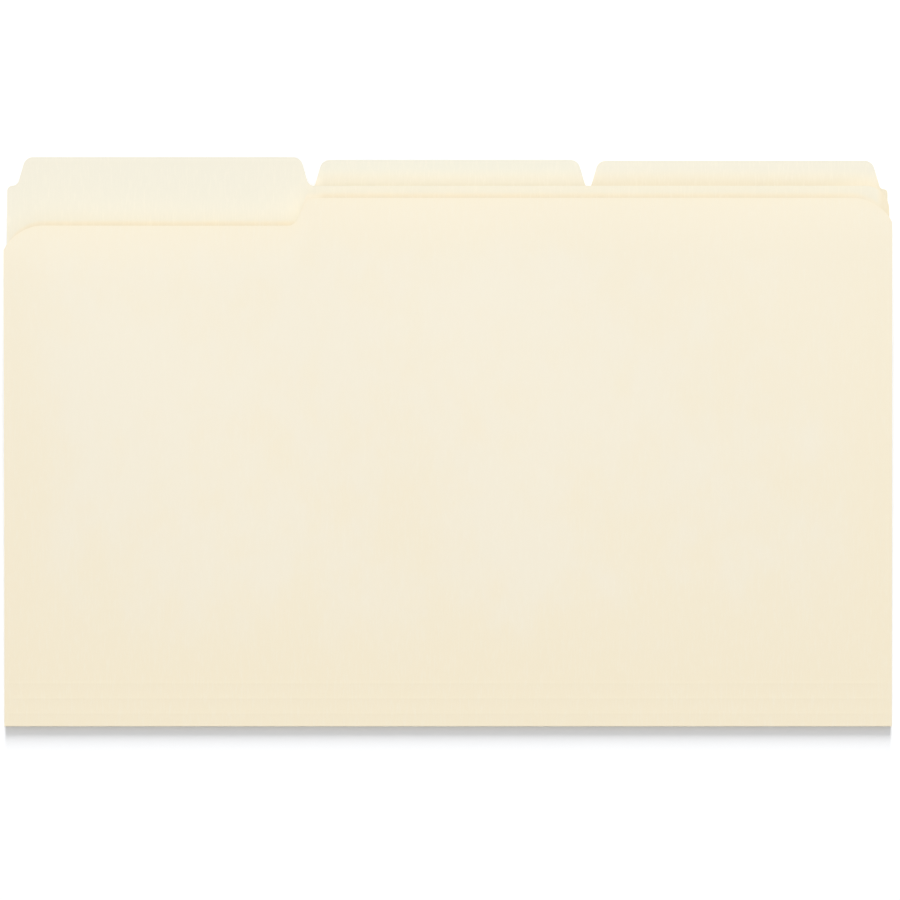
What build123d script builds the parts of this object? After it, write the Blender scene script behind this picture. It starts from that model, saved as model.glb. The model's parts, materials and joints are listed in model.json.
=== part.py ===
from build123d import *
import os
from math import atan2, cos, pi, radians, sin, tan

# A set of three legal-size manila folders, lying loosely stacked on a table.
# X runs along the folds, Y from the folds to the tabs, Z up from the table.
# The origin is on the table, under the middle of the stack. Sizes are in millimetres and degrees.

# The card and its width
card_thickness = 0.28
leaf_width = 374.65

# Height of the top folder's back leaf from the outside of the fold, how much shorter the lower two folders are, and how
# far the other top edges are from the back leaf's
back_height = 229.1
lower_shortfall = 0.9
tab_rise = 12.2
front_setback = 6.0
cutout_depth = 11.75

# Tabs: how far the outer ones stop short of the sides and the centre one lies right of the middle, their widths at the
# base, the slope of their ends and the rounding of their corners
left_tab_inset = 4.3
right_tab_inset = 3.0
centre_tab_shift = 0.8
outer_tab_width = 123.8
centre_tab_width = 115.8
tab_slope_run = 3.5
tab_corner_radius = 4.0
tab_base_radius = 3.0

# Corners of the back leaf, beside an outer tab and away from it
shoulder_radius = 2.5
plain_corner_radius = 10.0

# Front leaf: the cut-out under the tab and the cut-away top corners
cutout_inset = 0.2
cutout_slope_run = 5.5
cutout_radius = 4.0
front_corner_run = 16.0
front_corner_drop = 10.3

# Fold and scores, whose distances are measured from the outside of the fold
fold_gap = 0.45
fold_lip = 1.2
first_score = 5.5
score_pitch = 6.4
score_count = 3
score_radius = 0.3
score_clearance = 0.08

# How the folders lie: with their folds flush, each a little ajar
lower_ajar_angle = 0.25
top_ajar_angle = 2.1
sheet_clearance = 0.12

# Sizes that follow from the ones above, with the scores' places measured from the fold's axis
fold_inner_radius = fold_gap / 2
fold_outer_radius = fold_inner_radius + card_thickness
leaf_offset = fold_inner_radius + card_thickness / 2
score_places = [first_score + i * score_pitch - fold_outer_radius for i in range(score_count)]
hinge_score = score_places[-1]
front_foot = hinge_score + score_radius + score_clearance
ridge_height = score_radius - card_thickness / 2
sheet_gap = ridge_height + sheet_clearance

# The folders from the table up: the span of each tab's base, the height of the back leaf, and how far it is ajar
side = leaf_width / 2
tab_spans = {
    "right": (side - right_tab_inset - outer_tab_width, side - right_tab_inset),
    "centre": (centre_tab_shift - centre_tab_width / 2, centre_tab_shift + centre_tab_width / 2),
    "left": (left_tab_inset - side, left_tab_inset - side + outer_tab_width),
}
lower_height = back_height - lower_shortfall
back_heights = {"right": lower_height, "centre": lower_height, "left": back_height}
ajar_angles = {"right": lower_ajar_angle, "centre": lower_ajar_angle, "left": top_ajar_angle}
stack_depth = max(back_heights.values()) + tab_rise


def leaf_plane(axis_point, tilt):
    """A plane through the fold's axis, tilted about it: its X along the fold, its Y up the leaf."""
    return Plane(axis_point, x_dir=(1, 0, 0), z_dir=(0, -sin(radians(tilt)), cos(radians(tilt))))


def end_plane(leaf):
    """The plane square to the fold at its left end: its X up the leaf, its Y away from the table."""
    return Plane(leaf.from_local_coords((-side, 0, 0)), x_dir=leaf.y_dir, z_dir=(1, 0, 0))


def shoulder_radii(room):
    """Radii of a back leaf's top corner and of the tab's base, with this much room between them."""
    reach = tan((pi / 2 - atan2(tab_slope_run, tab_rise)) / 2)
    if room > plain_corner_radius + tab_base_radius * reach:
        return plain_corner_radius, tab_base_radius
    corner = min(shoulder_radius, room / 2)
    return corner, min(tab_base_radius, (room - corner) / reach)


def back_corners(tab_start, tab_end, back_top):
    """The back leaf's corners with their radii, from the fold's left end round by the right side."""
    tab_top = back_top + tab_rise
    right_corner, right_base = shoulder_radii(side - tab_end)
    left_corner, left_base = shoulder_radii(side + tab_start)
    return [
        ((-side, fold_lip), 0),
        ((side, fold_lip), 0),
        ((side, back_top), right_corner),
        ((tab_end, back_top), right_base),
        ((tab_end - tab_slope_run, tab_top), tab_corner_radius),
        ((tab_start + tab_slope_run, tab_top), tab_corner_radius),
        ((tab_start, back_top), left_base),
        ((-side, back_top), left_corner),
    ]


def front_edge(tab_start, tab_end, front_top):
    """The points of the front leaf's top edge between its cut-away corners, from right to left."""
    cutout_top = front_top - cutout_depth
    cut_start = tab_start + cutout_inset
    cut_end = tab_end - cutout_inset
    corner_start = side - front_corner_run
    right_step = [(cut_end, front_top), (cut_end - cutout_slope_run, cutout_top)]
    left_step = [(cut_start + cutout_slope_run, cutout_top), (cut_start, front_top)]
    if cut_end > corner_start:
        return [(corner_start, cutout_top), *left_step, (-corner_start, front_top)]
    if cut_start < -corner_start:
        return [(corner_start, front_top), *right_step, (-corner_start, cutout_top)]
    return [(corner_start, front_top), *right_step, *left_step, (-corner_start, front_top)]


os.makedirs("parts", exist_ok=True)
resting_plane = Plane((0, fold_outer_radius - stack_depth / 2, 0))
tilt = 0.0

for position, (tab_start, tab_end) in tab_spans.items():
    ajar = ajar_angles[position]
    back_top = back_heights[position] - fold_outer_radius
    axis_point = resting_plane.from_local_coords(Vector(0, 0, fold_outer_radius))
    back = leaf_plane(axis_point, tilt)
    front = leaf_plane(axis_point, tilt + ajar)

    # Back leaf: a flat sheet with the tab along its top edge
    corners = back_corners(tab_start, tab_end, back_top)
    with BuildPart() as back_leaf:
        with BuildSketch(back.offset(-leaf_offset)):
            with BuildLine():
                FilletPolyline([point for point, _ in corners], radius=[r for _, r in corners], close=True)
            make_face()
        extrude(amount=card_thickness / 2, both=True)
    back_leaf.part.label = f"{position}_back_leaf"

    # Fold: half a tube about the fold's axis, with a narrow lip along each leaf
    with BuildPart() as fold:
        with BuildSketch(end_plane(back)):
            with BuildLine():
                outside = CenterArc((0, 0), fold_outer_radius, 90 + ajar, 180 - ajar)
                inside = CenterArc((0, 0), fold_inner_radius, 90 + ajar, 180 - ajar)
                Line(outside @ 0, inside @ 0)
                Line(outside @ 1, inside @ 1)
            make_face()
        extrude(amount=leaf_width)
        for leaf, offset in ((back, -leaf_offset), (front, leaf_offset)):
            with BuildSketch(end_plane(leaf)):
                with Locations((fold_lip / 2, offset)):
                    Rectangle(fold_lip, card_thickness)
            extrude(amount=leaf_width)
    fold.part.label = f"{position}_fold"

    # Gusset: the strip from the fold to the outermost score, with a round ridge at each score
    with BuildPart() as gusset:
        with BuildSketch(end_plane(front)):
            with Locations(((fold_lip + hinge_score) / 2, leaf_offset)):
                Rectangle(hinge_score - fold_lip, card_thickness)
            with Locations([(place, leaf_offset) for place in score_places]):
                Circle(score_radius)
        extrude(amount=leaf_width)
    gusset.part.label = f"{position}_gusset"

    # Front leaf: a flat sheet from the outermost score, cut away under the tab and at its top corners
    edge = front_edge(tab_start, tab_end, back_top - front_setback)
    right_end = Vector(edge[0])
    left_end = Vector(edge[-1])
    right_corner = Vector(side, right_end.Y - front_corner_drop)
    left_corner = Vector(-side, left_end.Y - front_corner_drop)
    with BuildPart() as front_leaf:
        with BuildSketch(front.offset(leaf_offset)):
            with BuildLine():
                FilletPolyline(edge, radius=cutout_radius)
                TangentArc(left_end, left_corner, tangent=(-1, 0))
                Polyline(left_corner, (-side, front_foot), (side, front_foot), right_corner)
                TangentArc(right_end, right_corner, tangent=(1, 0))
            make_face()
        extrude(amount=card_thickness / 2, both=True)
    front_leaf.part.label = f"{position}_front_leaf"

    for panel in (back_leaf, fold, gusset, front_leaf):
        export_step(panel.part, f"parts/{panel.part.label}.step")

    # The next folder lies on this front leaf
    resting_plane = front.offset(fold_outer_radius + sheet_gap)
    tilt += ajar
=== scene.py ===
import json
import math

import bmesh
import bpy
from mathutils import Matrix, Vector


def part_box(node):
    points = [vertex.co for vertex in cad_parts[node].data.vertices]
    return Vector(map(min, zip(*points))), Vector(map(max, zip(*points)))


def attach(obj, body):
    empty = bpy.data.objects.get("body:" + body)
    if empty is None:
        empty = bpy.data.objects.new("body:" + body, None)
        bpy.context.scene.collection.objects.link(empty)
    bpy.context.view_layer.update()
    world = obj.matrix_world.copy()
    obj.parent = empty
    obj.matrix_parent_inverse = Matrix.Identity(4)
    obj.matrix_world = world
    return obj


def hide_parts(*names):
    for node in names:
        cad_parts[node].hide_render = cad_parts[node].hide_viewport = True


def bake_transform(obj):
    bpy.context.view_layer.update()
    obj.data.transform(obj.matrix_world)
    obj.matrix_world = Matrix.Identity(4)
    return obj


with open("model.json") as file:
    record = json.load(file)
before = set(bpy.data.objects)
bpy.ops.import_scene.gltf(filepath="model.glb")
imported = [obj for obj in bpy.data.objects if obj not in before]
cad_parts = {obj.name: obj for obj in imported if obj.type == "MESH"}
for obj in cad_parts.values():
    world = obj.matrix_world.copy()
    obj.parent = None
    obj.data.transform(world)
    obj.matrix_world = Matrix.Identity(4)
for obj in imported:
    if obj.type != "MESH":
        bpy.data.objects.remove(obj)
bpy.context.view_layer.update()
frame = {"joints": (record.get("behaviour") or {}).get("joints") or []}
joints = {joint["name"]: joint for joint in frame["joints"]}


# View: from above, leaning a little towards the folds so that it faces the top leaf squarely
viewSetup = {
    "place": (0.000789, -0.050961, 1.230),
    "leanDegrees": 2.2,
    "lens": 115.868,
    "sensor": 36.0,
}
cameraData = bpy.data.cameras.new("overhead")
cameraData.lens = viewSetup["lens"]
cameraData.sensor_width = viewSetup["sensor"]
camera = bpy.data.objects.new("overhead", cameraData)
camera.location = viewSetup["place"]
camera.rotation_euler = (math.radians(viewSetup["leanDegrees"]), 0, 0)
bpy.context.scene.collection.objects.link(camera)
bpy.context.scene.camera = camera
bpy.context.scene.view_settings.view_transform = "Standard"
print("camera set")


# Sizes read from the bottom folder, whose back leaf lies flat on the table
flatLow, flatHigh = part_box("right_back_leaf")
bottomAxis = Vector(joints["right_open"]["pos_m"])
card = flatHigh.z - flatLow.z  # thickness of the card
side = flatHigh.x  # half the folder's width
foldRadius = bottomAxis.z - card / 2  # from the fold's axis to the middle of the card
lip = flatLow.y - bottomAxis.y  # where the leaves start, up from the fold's axis
lowerTabTop = flatHigh.y - bottomAxis.y

# The die: each height is taken from the edge above it, and the scores are measured up the leaf from the
# fold's axis
die = {
    "topTaller": 0.0009,
    "tabRise": 0.0122,
    "frontSetback": 0.0060,
    "cutoutDepth": 0.01175,
    "leftInset": 0.0043,
    "rightInset": 0.0030,
    "centreShift": 0.0008,
    "outerTab": 0.1238,
    "centreTab": 0.1158,
    "tabSlope": 0.0035,
    "tabRadius": 0.004,
    "baseRadius": 0.003,
    "shoulderRadius": 0.0025,
    "plainRadius": 0.010,
    "cutoutInset": 0.0002,
    "cutoutSlope": 0.0055,
    "cutoutRadius": 0.004,
    "cornerRun": 0.016,
    "cornerDrop": 0.0103,
    "scores": (0.004995, 0.011395, 0.017795),
}
tabs = {
    "right": (side - die["rightInset"] - die["outerTab"], side - die["rightInset"]),
    "centre": (die["centreShift"] - die["centreTab"] / 2, die["centreShift"] + die["centreTab"] / 2),
    "left": (die["leftInset"] - side, die["leftInset"] - side + die["outerTab"]),
}


def topEdges(position):  # up the leaf from the fold's axis; the top folder is a little taller
    tab = lowerTabTop + (die["topTaller"] if position == "left" else 0)
    back = tab - die["tabRise"]
    front = back - die["frontSetback"]
    return {"tab": tab, "back": back, "front": front, "cutout": front - die["cutoutDepth"]}


tops = {position: topEdges(position) for position in tabs}


def leanOf(axis):  # how far a leaf leans up from the table when its face points along this axis
    return math.atan2(-axis[1], axis[2])


# Each folder lies on the front leaf of the one beneath it
backLean = {
    "right": 0.0,
    "centre": leanOf(joints["centre_lift"]["axis"]),
    "left": leanOf(joints["left_lift"]["axis"]),
}
topAjar = math.pi - math.radians(joints["left_open"]["range_deg"][1])
frontLean = {
    "right": backLean["centre"],
    "centre": backLean["left"],
    "left": backLean["left"] + topAjar,
}


# Shader values, with sums written as plain maths
class Wire:
    def __init__(self, tree, socket=None):
        self.tree = tree
        self.socket = socket

    def node(self, kind, settings, inputs, output=0):
        made = self.tree.nodes.new(kind)
        for name, value in settings.items():
            setattr(made, name, value)
        for key, value in inputs.items():
            if isinstance(value, Wire):
                self.tree.links.new(value.socket, made.inputs[key])
            else:
                made.inputs[key].default_value = value
        return Wire(self.tree, made.outputs[output] if made.outputs else None)

    def maths(self, operation, first, second=0.0):
        return self.node("ShaderNodeMath", {"operation": operation}, {0: first, 1: second})

    def mix(self, factor, first, second):  # two colours
        settings = {"data_type": "RGBA", "blend_type": "MIX"}
        return self.node("ShaderNodeMix", settings, {0: factor, 6: first, 7: second}, 2)

    def noise(self, place, seed, size, stretch, detail):  # patches about this size, in metres
        scale = (1 / (size * stretch[0]), 1 / (size * stretch[1]), 1)
        spread = self.node("ShaderNodeMapping", {}, {"Vector": place, "Scale": scale})
        settings = {"noise_dimensions": "4D"}
        inputs = {"Vector": spread, "W": seed, "Scale": 1.0, "Detail": detail, "Roughness": 0.55}
        return self.node("ShaderNodeTexNoise", settings, inputs)

    def ramp(self, value, low, high):  # 0 at low, 1 at high, with soft ends
        settings = {"interpolation_type": "SMOOTHSTEP"}
        return self.node("ShaderNodeMapRange", settings, {0: value, 1: low, 2: high})

    def __add__(self, other):
        return self.maths("ADD", self, other)

    __radd__ = __add__

    def __sub__(self, other):
        return self.maths("SUBTRACT", self, other)

    def __rsub__(self, other):
        return self.maths("SUBTRACT", other, self)

    def __mul__(self, other):
        return self.maths("MULTIPLY", self, other)

    __rmul__ = __mul__


def newMaterial(name):
    material = bpy.data.materials.new(name)
    material.use_nodes = True
    material.node_tree.nodes.clear()
    return material, Wire(material.node_tree)


# Manila card: buff stock with its fibres lying up the leaf, cloudy with paler patches and warmer where it is
# handled; a back leaf gets painted shade along the edge of the sheet that covers it, warm like light bounced
# between the sheets, with a painted contact shadow at that edge and a painted cooler bare look above it; the
# cut edges are paler, partly their own fibres and partly a painted highlight
manila = {
    "pale": (0.941, 0.870, 0.708, 1),
    "buff": (0.945, 0.856, 0.663, 1),
    "warm": (0.949, 0.848, 0.638, 1),
    # colour of the painted contact shadow at a covering edge
    "contactShade": (0.790, 0.706, 0.515, 1),
    # pale fibres, also used for the painted highlight along the cut edges
    "fibreAndHighlight": (0.970, 0.915, 0.770, 1),
    "cloud": {"size": 0.090, "stretch": (1, 1), "detail": 3.0},
    "mottle": {"size": 0.012, "stretch": (1, 1.6), "detail": 4.0},
    "grain": {"size": 0.0007, "stretch": (1, 7), "detail": 3.0},
    "cloudShare": 0.6,  # of the pale patches; the mottle gives the rest
    "patchLimits": (0.40, 0.60),
    "sideBand": 0.030,  # widths of the handled bands
    "foldBand": 0.070,
    "topBand": 0.030,
    "handledPatches": 0.20,  # how far handling holds the pale patches back
    "handledWarmth": 0.3,
    "mottledWarmth": 0.6,
    "edgeBand": 0.009,
    "edgeWarmth": 0.9,
    # strength of the painted bare look of the back leaves
    "bareLightStrength": 0.9,
    # the painted contact shadow at a covering edge: its width and strength
    "contactShadeWidth": 0.0006,
    "contactShadeStrength": 0.25,
    "fibreLimits": (0.45, 0.75),
    "fibreStrength": 0.28,
    "rimStrength": 0.45,
    "roughness": 0.72,
    "grainRoughness": 0.12,
    "shine": 0.25,
    "tooth": 0.00002,
    "toothStrength": 0.5,
    "mottledTooth": 0.5,
}

# Painted shade along the covering edge: strongest along it, and weak at the step beside the left tab and
# towards the right side, except in the right corner, where it runs on above the covering edge
paintedShadeBand = {
    "run": 0.012,
    "beforeStep": (-0.006, -0.001),
    "afterStep": (0.003, 0.008),
    "stepLoss": 0.9,
    "sideLoss": 0.8,
    "shadedCornerSide": (0.002, 0.006),
    "shadedCornerReach": (0.008, 0.012),
}

# The sheet that covers each back leaf: how far up it reaches at the left tab and beside it, its rounded
# corners, how far above it the painted bare look comes in, and how strong the painted shade is, with their
# colours; the lower two folders' colours are darker, as painted shade from the folders above them
topFolder = tops["left"]
stepEnd = tabs["left"][1] - die["cutoutInset"]
covers = {
    "right": {
        "seed": 1.7,
        "atTab": topFolder["back"] + 0.0006,
        "beside": topFolder["back"] + 0.0006,
        "corner": (die["plainRadius"], die["plainRadius"]),
        "bareLightRun": 0.0080,
        "strength": 0.94,
        "paintedShade": (0.780, 0.697, 0.510, 1),
        "bareLightAndShade": (0.782, 0.767, 0.664, 1),
    },
    "centre": {
        "seed": 5.2,
        "atTab": topFolder["back"] + 0.0003,
        "beside": topFolder["back"] + 0.0003,
        "corner": (die["plainRadius"], die["plainRadius"]),
        "bareLightRun": 0.0080,
        "strength": 0.85,
        "paintedShade": (0.765, 0.700, 0.524, 1),
        "bareLightAndShade": (0.787, 0.788, 0.679, 1),
    },
    "left": {
        "seed": 9.4,
        "atTab": topFolder["cutout"] + 0.0008,
        "beside": topFolder["front"] + 0.0009,
        "corner": (die["cornerRun"], die["cornerDrop"]),
        "bareLightRun": 0.0028,
        "strength": 1.0,
        "paintedShade": (0.822, 0.719, 0.506, 1),
        "bareLightAndShade": (0.826, 0.803, 0.681, 1),
    },
}


def arcRadius(run, drop):  # of an arc that starts level and falls this far over this run
    return (run * run + drop * drop) / (2 * drop)


def handledBands(wire, fromSide, along):  # 1 at the sides, the fold and the top edge, 0 well inside them
    offSide = wire.ramp(fromSide, 0, manila["sideBand"])
    offFold = wire.ramp(wire.maths("ABSOLUTE", along), 0, manila["foldBand"])
    offTop = wire.ramp(topFolder["front"] - along, 0, manila["topBand"])
    return 1 - offSide * offFold * offTop


def coverMarks(wire, cover, across, along, fromSide, stepUp):  # how far the card gets the painted bare look, the painted shade and the painted contact shadow
    run, drop = cover["corner"]
    arc = arcRadius(run, drop)
    intoCorner = wire.maths("MAXIMUM", run - fromSide, 0.0)
    fall = arc - wire.maths("SQRT", arc * arc - intoCorner * intoCorner)
    edge = cover["atTab"] + (cover["beside"] - cover["atTab"]) * stepUp - fall
    bare = 0 - along - edge  # how far above the covering edge

    # in the right corner the painted shade runs on above the covering edge, in place of the painted bare
    # look
    lowDown = 1 - wire.ramp(bare, *paintedShadeBand["shadedCornerReach"])
    shadedCorner = stepUp * (1 - wire.ramp(fromSide, *paintedShadeBand["shadedCornerSide"])) * lowDown
    # painted cooler look of the bare card above the covering edge, as open light shows it with no warm
    # bounce
    bareLightAndShade = wire.ramp(bare, 0, cover["bareLightRun"]) * (1 - shadedCorner)
    rightSide = stepUp * (1 - wire.ramp(fromSide, 0, manila["sideBand"])) * (1 - shadedCorner)
    fromStep = across - stepEnd
    atStep = wire.ramp(fromStep, *paintedShadeBand["beforeStep"]) * (1 - wire.ramp(fromStep, *paintedShadeBand["afterStep"]))
    # painted shade along the covering edge, warm like light bounced between the sheets
    paintedShade = cover["strength"] * wire.ramp(bare, -paintedShadeBand["run"], 0) * (1 - bareLightAndShade)
    paintedShade = paintedShade * (1 - paintedShadeBand["sideLoss"] * rightSide) * (1 - paintedShadeBand["stepLoss"] * atStep)
    # a painted contact shadow in a thin line at the covering edge
    contactShade = wire.ramp(bare, -manila["contactShadeWidth"], 0) * (1 - wire.ramp(bare, 0, manila["contactShadeWidth"]))
    return bareLightAndShade, paintedShade, contactShade


def manilaCard(name, cover):
    material, wire = newMaterial(name)
    sheet = wire.node("ShaderNodeUVMap", {"uv_map": "sheet"}, {})
    across = wire.node("ShaderNodeSeparateXYZ", {}, {0: sheet}, 0)
    along = wire.node("ShaderNodeSeparateXYZ", {}, {0: sheet}, 1)  # front leaf above 0, back leaf below
    fromSide = side - wire.maths("ABSOLUTE", across)
    stepUp = wire.ramp(across, stepEnd - die["cutoutSlope"], stepEnd)
    cloud = wire.noise(sheet, cover["seed"], **manila["cloud"])
    mottle = wire.noise(sheet, cover["seed"] + 3, **manila["mottle"])
    grain = wire.noise(sheet, cover["seed"] + 7, **manila["grain"])

    handled = handledBands(wire, fromSide, along)
    patches = manila["cloudShare"] * cloud + (1 - manila["cloudShare"]) * mottle
    patches = wire.ramp(patches - manila["handledPatches"] * handled, *manila["patchLimits"])
    colour = wire.mix(patches, manila["buff"], manila["pale"])
    warmth = handled * (manila["handledWarmth"] + manila["mottledWarmth"] * mottle)
    colour = wire.mix(warmth, colour, manila["warm"])
    frontEdge = foldRadius * math.pi + topFolder["cutout"] + die["cutoutDepth"] * stepUp
    nearEdge = wire.ramp(along - frontEdge, -manila["edgeBand"], 0)
    colour = wire.mix(manila["edgeWarmth"] * nearEdge, colour, manila["warm"])

    # painted bare look above the covering edge, painted shade along it and a painted contact shadow at it
    bareLightAndShade, paintedShade, contactShade = coverMarks(wire, cover, across, along, fromSide, stepUp)
    colour = wire.mix(manila["bareLightStrength"] * bareLightAndShade, colour, cover["bareLightAndShade"])
    colour = wire.mix(paintedShade, colour, cover["paintedShade"])
    colour = wire.mix(manila["contactShadeStrength"] * contactShade, colour, manila["contactShade"])
    fibres = wire.ramp(grain, *manila["fibreLimits"])
    colour = wire.mix(manila["fibreStrength"] * fibres, colour, manila["fibreAndHighlight"])
    # paler cut edges: partly their own fibres, partly a painted highlight where the edge catches the light
    rim = wire.node("ShaderNodeAttribute", {"attribute_name": "rim"}, {}, 2)
    colour = wire.mix(manila["rimStrength"] * rim, colour, manila["fibreAndHighlight"])

    height = grain + manila["mottledTooth"] * mottle
    tooth = {"Strength": manila["toothStrength"], "Distance": manila["tooth"], "Height": height}
    inputs = {
        "Base Color": colour,
        "Roughness": manila["roughness"] + manila["grainRoughness"] * grain,
        "Specular IOR Level": manila["shine"],
        "Normal": wire.node("ShaderNodeBump", {}, tooth),
    }
    shader = wire.node("ShaderNodeBsdfPrincipled", {}, inputs)
    wire.node("ShaderNodeOutputMaterial", {}, {"Surface": shader})
    return material


finishes = {position: manilaCard(f"manila{position.title()}", cover) for position, cover in covers.items()}
print("finishes:", ", ".join(material.name for material in finishes.values()))


# Making a panel: the card is cut flat, given its mesh for bending, shaped, and then set in its place
making = {
    "cornerSegments": 8,
    "rollWidth": 0.0007,
    "rollDrop": 0.00004,
    "meshStep": 0.005,
    "weld": 1e-6,
    "onCut": 1e-7,
    "foldSegments": 96,
    "foldSquareness": 6,
    "sharpAngle": math.radians(40),
}


def cutCard(corners):  # a flat sheet from its corners, each with the radius it is rounded to
    sheet = bmesh.new()
    verts = [sheet.verts.new((x, y, 0)) for x, y, radius in corners]
    sheet.faces.new(verts)
    for i, (x, y, radius) in enumerate(corners):
        if not radius:
            continue
        arriving = Vector((x, y)) - Vector(corners[i - 1][:2])
        leaving = Vector(corners[(i + 1) % len(corners)][:2]) - Vector((x, y))
        reach = radius * math.tan(arriving.angle(leaving) / 2)
        bmesh.ops.bevel(
            sheet, geom=[verts[i]], offset=reach, offset_type="OFFSET", affect="VERTICES",
            segments=making["cornerSegments"], profile=0.5, material=-1, clamp_overlap=False,
        )
    bmesh.ops.remove_doubles(sheet, verts=sheet.verts, dist=making["weld"])
    return sheet


def cutAcross(sheet, place, normal):  # an edge loop right across the sheet
    geom = sheet.verts[:] + sheet.edges[:] + sheet.faces[:]
    bmesh.ops.bisect_plane(sheet, geom=geom, dist=making["onCut"], plane_co=place, plane_no=normal)


def meshForBending(sheet):
    step = making["meshStep"]
    low = min(vert.co.y for vert in sheet.verts)
    high = max(vert.co.y for vert in sheet.verts)
    columns = round(2 * side / step)
    rows = round((high - low) / step)
    for i in range(1, columns):
        cutAcross(sheet, (-side + 2 * side * i / columns, 0, 0), (1, 0, 0))
    for i in range(1, rows):
        cutAcross(sheet, (0, low + (high - low) * i / rows, 0), (0, 1, 0))


def markRim(sheet, foot):  # the cut edges, which the die rolls over a little, but not the foot
    bmesh.ops.inset_region(sheet, faces=sheet.faces[:], thickness=making["rollWidth"], use_even_offset=True)
    rim = sheet.verts.layers.float.new("rim")
    for vert in sheet.verts:
        vert[rim] = 1.0 if vert.is_boundary and vert.co.y > foot + making["weld"] else 0.0


def thicken(sheet):  # from a flat face to card with two sides
    under = bmesh.ops.duplicate(sheet, geom=sheet.verts[:] + sheet.edges[:] + sheet.faces[:])["geom"]
    lower = set(geom for geom in under if isinstance(geom, bmesh.types.BMVert))
    rim = sheet.verts.layers.float.get("rim")
    for vert in sheet.verts:
        if vert in lower:
            vert.co.z -= card / 2
        else:
            vert.co.z += card / 2 - (making["rollDrop"] * vert[rim] if rim else 0)
    bmesh.ops.bridge_loops(sheet, edges=[edge for edge in sheet.edges if edge.is_boundary])


def markSheet(sheet, along):  # where each point was on the flat card, in metres
    uv = sheet.loops.layers.uv.new("sheet")
    for face in sheet.faces:
        for loop in face.loops:
            loop[uv].uv = (loop.vert.co.x, along(loop.vert.co.y))


def finishPanel(name, sheet, position, node):
    bmesh.ops.recalc_face_normals(sheet, faces=sheet.faces)
    for face in sheet.faces:
        face.smooth = True
    for edge in sheet.edges:
        edge.smooth = edge.calc_face_angle() < making["sharpAngle"]
    mesh = bpy.data.meshes.new(name)
    sheet.to_mesh(mesh)
    sheet.free()
    panel = bpy.data.objects.new(name, mesh)
    bpy.context.scene.collection.objects.link(panel)
    mesh.materials.append(finishes[position])
    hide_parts(node)
    return panel


def leafPlace(position, lean, offset):  # from the flat card to a leaf turned up about its fold
    axis = Vector(joints[f"{position}_open"]["pos_m"])
    turn = Matrix.Rotation(lean, 4, "X")
    return Matrix.Translation(axis) @ turn @ Matrix.Translation((0, 0, offset))


# Back leaf, with the tab
def backLeaf(position):
    start, end = tabs[position]
    backTop, tabTop = tops[position]["back"], tops[position]["tab"]
    rise = math.atan2(die["tabRise"], die["tabSlope"])

    def shoulder(room):  # radii of the leaf's corner and of the tab's base
        reach = math.tan(rise / 2)
        if room > die["plainRadius"] + die["baseRadius"] * reach:
            return die["plainRadius"], die["baseRadius"]
        corner = min(die["shoulderRadius"], room / 2)
        return corner, min(die["baseRadius"], (room - corner) / reach)

    rightCorner, rightBase = shoulder(side - end)
    leftCorner, leftBase = shoulder(side + start)
    sheet = cutCard([
        (-side, lip, 0),
        (side, lip, 0),
        (side, backTop, rightCorner),
        (end, backTop, rightBase),
        (end - die["tabSlope"], tabTop, die["tabRadius"]),
        (start + die["tabSlope"], tabTop, die["tabRadius"]),
        (start, backTop, leftBase),
        (-side, backTop, leftCorner),
    ])
    markRim(sheet, lip)
    meshForBending(sheet)
    thicken(sheet)
    markSheet(sheet, lambda y: -y)
    place = leafPlace(position, backLean[position], -foldRadius)
    bmesh.ops.transform(sheet, matrix=place, verts=sheet.verts)
    panel = finishPanel(f"{position}_back_card", sheet, position, f"{position}_back_leaf")
    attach(panel, f"{position}_back")


# Fold: a strip of card rolled round the fold's axis, with the crease pressed a little square
def foldStrip(position):
    ajar = frontLean[position] - backLean[position]
    turned = math.pi - ajar
    length = 2 * lip + foldRadius * turned
    strip = bmesh.new()
    bmesh.ops.create_grid(strip, x_segments=1, y_segments=making["foldSegments"], size=0.5)
    bmesh.ops.scale(strip, vec=(2 * side, length, 1), verts=strip.verts)
    bmesh.ops.translate(strip, vec=(0, length / 2, 0), verts=strip.verts)
    thicken(strip)
    markSheet(strip, lambda y: y - lip)
    for vert in strip.verts:
        angle = min(max((vert.co.y - lip) / foldRadius, 0), turned)
        around = angle * math.pi / turned
        power = making["foldSquareness"]
        pressed = (abs(math.cos(around)) ** power + abs(math.sin(around)) ** power) ** (-1 / power)
        flat = Vector((vert.co.x, lip - vert.co.y + foldRadius * angle, pressed * (vert.co.z - foldRadius)))
        vert.co = Matrix.Rotation(-angle, 3, "X") @ flat
    bmesh.ops.transform(strip, matrix=leafPlace(position, backLean[position], 0), verts=strip.verts)
    panel = finishPanel(f"{position}_fold_crease", strip, position, f"{position}_fold")
    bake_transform(panel)


# Gusset: the strip beside the fold, with a low ridge pressed along each score
ridge = {"rise": 0.000016, "halfWidth": 0.0009, "steps": 4}
frontFoot = die["scores"][-1] + ridge["halfWidth"]


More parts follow.
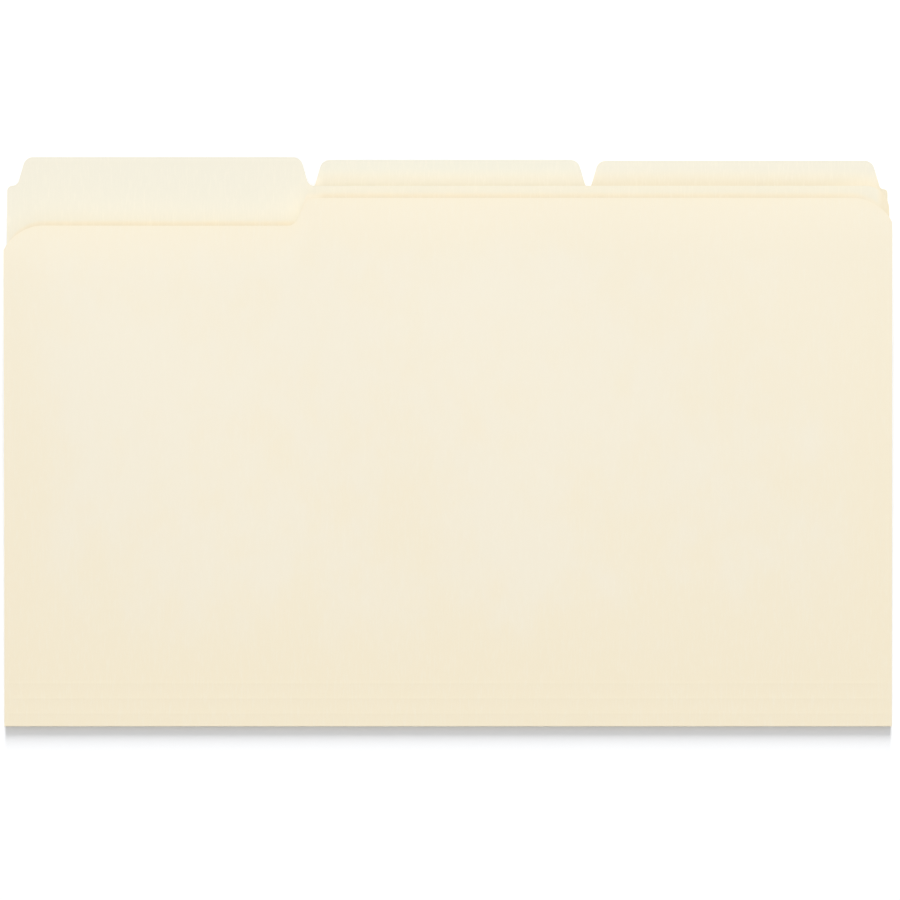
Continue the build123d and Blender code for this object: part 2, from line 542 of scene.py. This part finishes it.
def gussetStrip(position):
    strip = cutCard([(-side, lip, 0), (side, lip, 0), (side, frontFoot, 0), (-side, frontFoot, 0)])
    for score in die["scores"]:
        for i in range(-ridge["steps"], ridge["steps"] + 1):
            cutAcross(strip, (0, score + ridge["halfWidth"] * i / ridge["steps"], 0), (0, 1, 0))
    thicken(strip)
    markSheet(strip, lambda y: y + foldRadius * math.pi)
    for vert in strip.verts:
        away = min(abs(vert.co.y - score) for score in die["scores"]) / ridge["halfWidth"]
        vert.co.z += ridge["rise"] * 0.5 * (1 + math.cos(math.pi * min(away, 1)))
    place = leafPlace(position, frontLean[position], foldRadius)
    bmesh.ops.transform(strip, matrix=place, verts=strip.verts)
    panel = finishPanel(f"{position}_gusset_strip", strip, position, f"{position}_gusset")
    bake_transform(panel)


# Front leaf, cut away under the tab and at its top corners; the top folder's lifts towards its left corner,
# droops along its free edge and is never quite flat
leafCurl = {
    "cornerLift": 0.0011,
    "cornerReach": 0.110,
    "edgeDroop": 0.00035,
    "droopReach": 0.022,
    "wave": 0.00022,
    "waveLength": 0.145,
    "waveSkew": 0.4,
}


def smooth(share):
    share = min(max(share, 0), 1)
    return share * share * (3 - 2 * share)


def curl(x, y):
    free = smooth((y - frontFoot) / (topFolder["front"] - frontFoot))
    corner = smooth((leafCurl["cornerReach"] - side - x) / leafCurl["cornerReach"])
    wave = math.sin(2 * math.pi * (x + leafCurl["waveSkew"] * y) / leafCurl["waveLength"])
    edge = topFolder["cutout"] + die["cutoutDepth"] * smooth((x - stepEnd) / die["cutoutSlope"] + 1)
    droop = max((y - edge) / leafCurl["droopReach"] + 1, 0) ** 2
    lift = leafCurl["cornerLift"] * corner + leafCurl["wave"] * wave
    return free * lift - leafCurl["edgeDroop"] * droop


def frontLeaf(position):
    start, end = tabs[position]
    frontTop, cutoutTop = tops[position]["front"], tops[position]["cutout"]
    cutStart = start + die["cutoutInset"]
    cutEnd = end - die["cutoutInset"]
    run, drop = die["cornerRun"], die["cornerDrop"]
    bend = arcRadius(run, drop)
    reach = bend * math.tan(math.asin(run / bend) / 2)
    radius = die["cutoutRadius"]
    rightTop = cutoutTop if cutEnd > side - run else frontTop
    leftTop = cutoutTop if cutStart < run - side else frontTop
    edge = [(side, rightTop - drop, 0), (side - run + reach, rightTop, bend)]
    if rightTop == frontTop:
        edge += [(cutEnd, frontTop, radius), (cutEnd - die["cutoutSlope"], cutoutTop, radius)]
    if leftTop == frontTop:
        edge += [(cutStart + die["cutoutSlope"], cutoutTop, radius), (cutStart, frontTop, radius)]
    edge += [(run - side - reach, leftTop, bend), (-side, leftTop - drop, 0)]
    sheet = cutCard([(-side, frontFoot, 0), (side, frontFoot, 0), *edge])
    markRim(sheet, frontFoot)
    meshForBending(sheet)
    thicken(sheet)
    markSheet(sheet, lambda y: y + foldRadius * math.pi)
    if position == "left":
        for vert in sheet.verts:
            vert.co.z += curl(vert.co.x, vert.co.y)
    place = leafPlace(position, frontLean[position], foldRadius)
    bmesh.ops.transform(sheet, matrix=place, verts=sheet.verts)
    panel = finishPanel(f"{position}_front_card", sheet, position, f"{position}_front_leaf")
    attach(panel, f"{position}_front")


for position in tabs:
    backLeaf(position)
    foldStrip(position)
    gussetStrip(position)
    frontLeaf(position)
    print(position, "folder made")


# Table: white to the eye, plain to the light, with the folders' shadow on it, and plain white further off
table = {
    "half": 8.0,
    "drop": 0.00005,
    "white": (1.085, 1.095, 1.110, 1),
    "bounce": (0.60, 0.60, 0.60, 1),
    "far": (1.0, 2.4),
    "farWhite": (1, 1, 1, 1),
}
bench = bmesh.new()
bmesh.ops.create_grid(bench, x_segments=1, y_segments=1, size=table["half"])
bmesh.ops.translate(bench, vec=(0, 0, -table["drop"]), verts=bench.verts)
benchMesh = bpy.data.meshes.new("table")
bench.to_mesh(benchMesh)
bench.free()
tableTop = bpy.data.objects.new("table", benchMesh)
bpy.context.scene.collection.objects.link(tableTop)


def seenDirectly(wire):  # 1 for what the eye or a shiny surface sees, 0 for light that bounces
    rays = wire.node("ShaderNodeLightPath", {}, {})
    names = rays.socket.node.outputs
    seen = Wire(wire.tree, names["Is Camera Ray"])
    for name in ("Is Glossy Ray", "Is Transmission Ray"):
        seen = wire.maths("MAXIMUM", seen, Wire(wire.tree, names[name]))
    return seen


def tablePaint():
    material, wire = newMaterial("whiteTable")
    seen = seenDirectly(wire)
    colour = wire.mix(seen, table["bounce"], table["white"])
    near = wire.node("ShaderNodeBsdfDiffuse", {}, {"Color": colour})
    far = wire.node("ShaderNodeEmission", {}, {"Color": table["farWhite"], "Strength": 1.0})
    place = wire.node("ShaderNodeTexCoord", {}, {}, "Object")
    distance = wire.node("ShaderNodeVectorMath", {"operation": "LENGTH"}, {0: place}, "Value")
    farOff = seen * wire.ramp(distance, *table["far"])
    shader = wire.node("ShaderNodeMixShader", {}, {0: farOff, 1: near, 2: far})
    wire.node("ShaderNodeOutputMaterial", {}, {"Surface": shader})
    return material


benchMesh.materials.append(tablePaint())

# Light: a tall soft lamp beyond the tabs, a soft box overhead, and even fill from all round
lighting = {
    "fill": 0.236,
    "lamps": {
        "rearLamp": {"place": (0, 6.15, 3.34), "size": (1.0, 4.4), "power": 470.0},
        "topLamp": {"place": (0, 0, 4.0), "size": (2.5, 9.0), "power": 90.4},
    },
}
for name, settings in lighting["lamps"].items():
    lampData = bpy.data.lights.new(name, "AREA")
    lampData.shape = "RECTANGLE"
    lampData.size, lampData.size_y = settings["size"]
    lampData.energy = settings["power"]
    lamp = bpy.data.objects.new(name, lampData)
    lamp.location = settings["place"]
    lamp.rotation_euler = (-Vector(settings["place"])).to_track_quat("-Z", "Y").to_euler()
    lamp.visible_camera = False
    bpy.context.scene.collection.objects.link(lamp)

world = bpy.data.worlds.new("studio")
bpy.context.scene.world = world
world.use_nodes = True
world.node_tree.nodes.clear()
sky = Wire(world.node_tree)
skyStrength = lighting["fill"] + (1 - lighting["fill"]) * seenDirectly(sky)
background = sky.node("ShaderNodeBackground", {}, {"Color": (1, 1, 1, 1), "Strength": skyStrength})
sky.node("ShaderNodeOutputWorld", {}, {"Surface": background})
print("table and light set")
